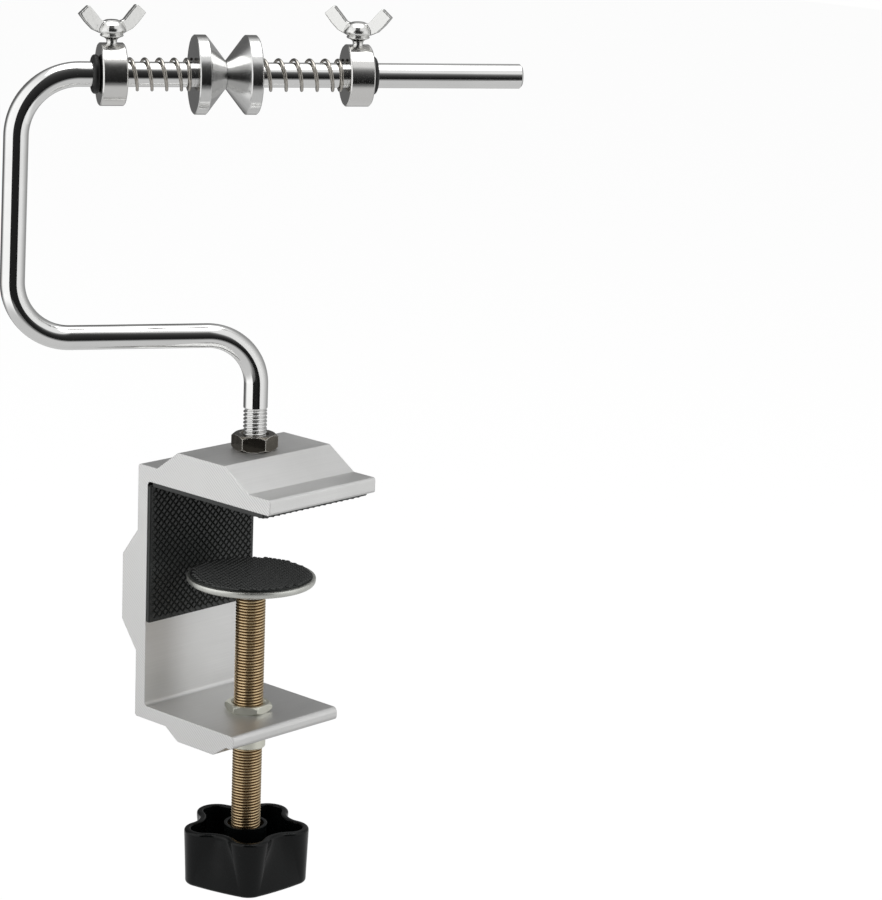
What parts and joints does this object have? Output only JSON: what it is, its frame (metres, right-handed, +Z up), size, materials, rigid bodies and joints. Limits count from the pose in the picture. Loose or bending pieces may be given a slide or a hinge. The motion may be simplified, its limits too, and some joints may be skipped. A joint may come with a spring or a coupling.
{
  "type": "fishing line winder",
  "caption": "Table clamp with a swinging cranked rod whose shaft holds a line spool between sprung cones.",
  "frame": {"origin": "where the clamp screw's axis meets the table top, on the underside of the top jaw's pad", "axes": "+Z up along the clamp screw, +X out of the clamp's mouth, Y along the table's edge"},
  "size_m": [0.0962, 0.1457, 0.2952],
  "materials": {
    "clamp_aluminium": "satin",
    "pad_rubber": "ribbed matte",
    "nickel_plate": "bright",
    "hard_steel": "polished",
    "disc_metal": "satin",
    "brassed_steel": "passivated zinc",
    "knob_plastic": "semi-gloss",
    "insert_brass": "machined",
    "black_nickel": "dark plate",
    "rod_chrome": "mirror",
    "ring_rubber": "smooth",
    "turned_bright": "turned",
    "cone_bright": "turned",
    "spring_wire": "drawn",
    "cast_bright": "plated casting"
  },
  "bodies": {
    "clamp": {"clamp_frame": "clamp_aluminium", "back_pad": "pad_rubber", "top_jaw_pad": "pad_rubber", "screw_bush": "nickel_plate"},
    "swivel": {"swivel_ball": "hard_steel"},
    "disc": {"pressure_disc": "disc_metal", "disc_pad": "pad_rubber"},
    "clamp_screw": {"clamp_screw": "brassed_steel", "knob": "knob_plastic", "knob_insert": "insert_brass"},
    "lock_nut": {"lock_nut": "black_nickel"},
    "arm": {"bent_rod": "rod_chrome"},
    "left_ring": {"left_o_ring": "ring_rubber"},
    "left_collar": {"left_collar": "turned_bright"},
    "left_wing": {"left_wing_screw": "cast_bright"},
    "left_spring_end": {"left_spring": "spring_wire"},
    "left_cone": {"left_cone": "cone_bright"},
    "right_ring": {"right_o_ring": "ring_rubber"},
    "right_collar": {"right_collar": "turned_bright"},
    "right_wing": {"right_wing_screw": "cast_bright"},
    "right_spring_end": {"right_spring": "spring_wire"},
    "right_cone": {"right_cone": "cone_bright"}
  },
  "joints": [
    {"name": "screw_turn", "type": "hinge", "parent": "swivel", "child": "clamp_screw", "pos_m": [0, 0, -0.07], "axis": [0, 0, 1], "range_deg": [-12600, 9360]},
    {"name": "screw_travel", "type": "slide", "parent": "clamp", "child": "swivel", "axis": [0, 0, 1], "range_m": [-0.035, 0.026]},
    {"name": "disc_tilt", "type": "hinge", "parent": "swivel", "child": "disc", "pos_m": [0, 0, -0.0326], "axis": [0, 1, 0], "range_deg": [-4, 4]},
    {"name": "lock_nut_turn", "type": "hinge", "parent": "clamp", "child": "lock_nut", "pos_m": [0, 0, 0.0176], "axis": [0, 0, 1], "range_deg": [0, 360]},
    {"name": "arm_swing", "type": "hinge", "parent": "clamp", "child": "arm", "pos_m": [0, 0, 0.03], "axis": [0, 0, 1], "range_deg": [-180, 180]},
    {"name": "left_set_slide", "type": "slide", "parent": "arm", "child": "left_ring", "axis": [0.5373, 0.8434, 0], "range_m": [-0.003, 0.012]},
    {"name": "left_collar_turn", "type": "hinge", "parent": "left_ring", "child": "left_collar", "pos_m": [-0.02636, -0.04137, 0.1377], "axis": [0.5373, 0.8434, 0], "continuous": true},
    {"name": "left_wing_turn", "type": "hinge", "parent": "left_collar", "child": "left_wing", "pos_m": [-0.02636, -0.04137, 0.1497], "axis": [0, 0, 1], "range_deg": [0, 360]},
    {"name": "left_cone_press", "type": "slide", "parent": "left_ring", "child": "left_spring_end", "axis": [0.5373, 0.8434, 0], "range_m": [-0.01, 0], "stiffness_N_per_m": 2700, "deforming": ["left_spring"]},
    {"name": "left_cone_spin", "type": "hinge", "parent": "left_spring_end", "child": "left_cone", "pos_m": [-0.00949, -0.01489, 0.1377], "axis": [0.5373, 0.8434, 0], "continuous": true},
    {"name": "right_set_slide", "type": "slide", "parent": "left_ring", "child": "right_ring", "axis": [0.5373, 0.8434, 0], "range_m": [0, 0.036]},
    {"name": "right_collar_turn", "type": "hinge", "parent": "right_ring", "child": "right_collar", "pos_m": [0.01652, 0.02593, 0.1377], "axis": [0.5373, 0.8434, 0], "continuous": true},
    {"name": "right_wing_turn", "type": "hinge", "parent": "right_collar", "child": "right_wing", "pos_m": [0.01652, 0.02593, 0.1497], "axis": [0, 0, 1], "range_deg": [0, 360]},
    {"name": "right_cone_press", "type": "slide", "parent": "right_ring", "child": "right_spring_end", "axis": [0.5373, 0.8434, 0], "range_m": [0, 0.014], "stiffness_N_per_m": 2200, "deforming": ["right_spring"]},
    {"name": "right_cone_spin", "type": "hinge", "parent": "right_spring_end", "child": "right_cone", "pos_m": [-0.00384, -0.00604, 0.1377], "axis": [0.5373, 0.8434, 0], "continuous": true}
  ],
  "couplings": [
    {"joint": "screw_turn", "follows": "screw_travel", "rad_per_m": 6283.2}
  ]
}
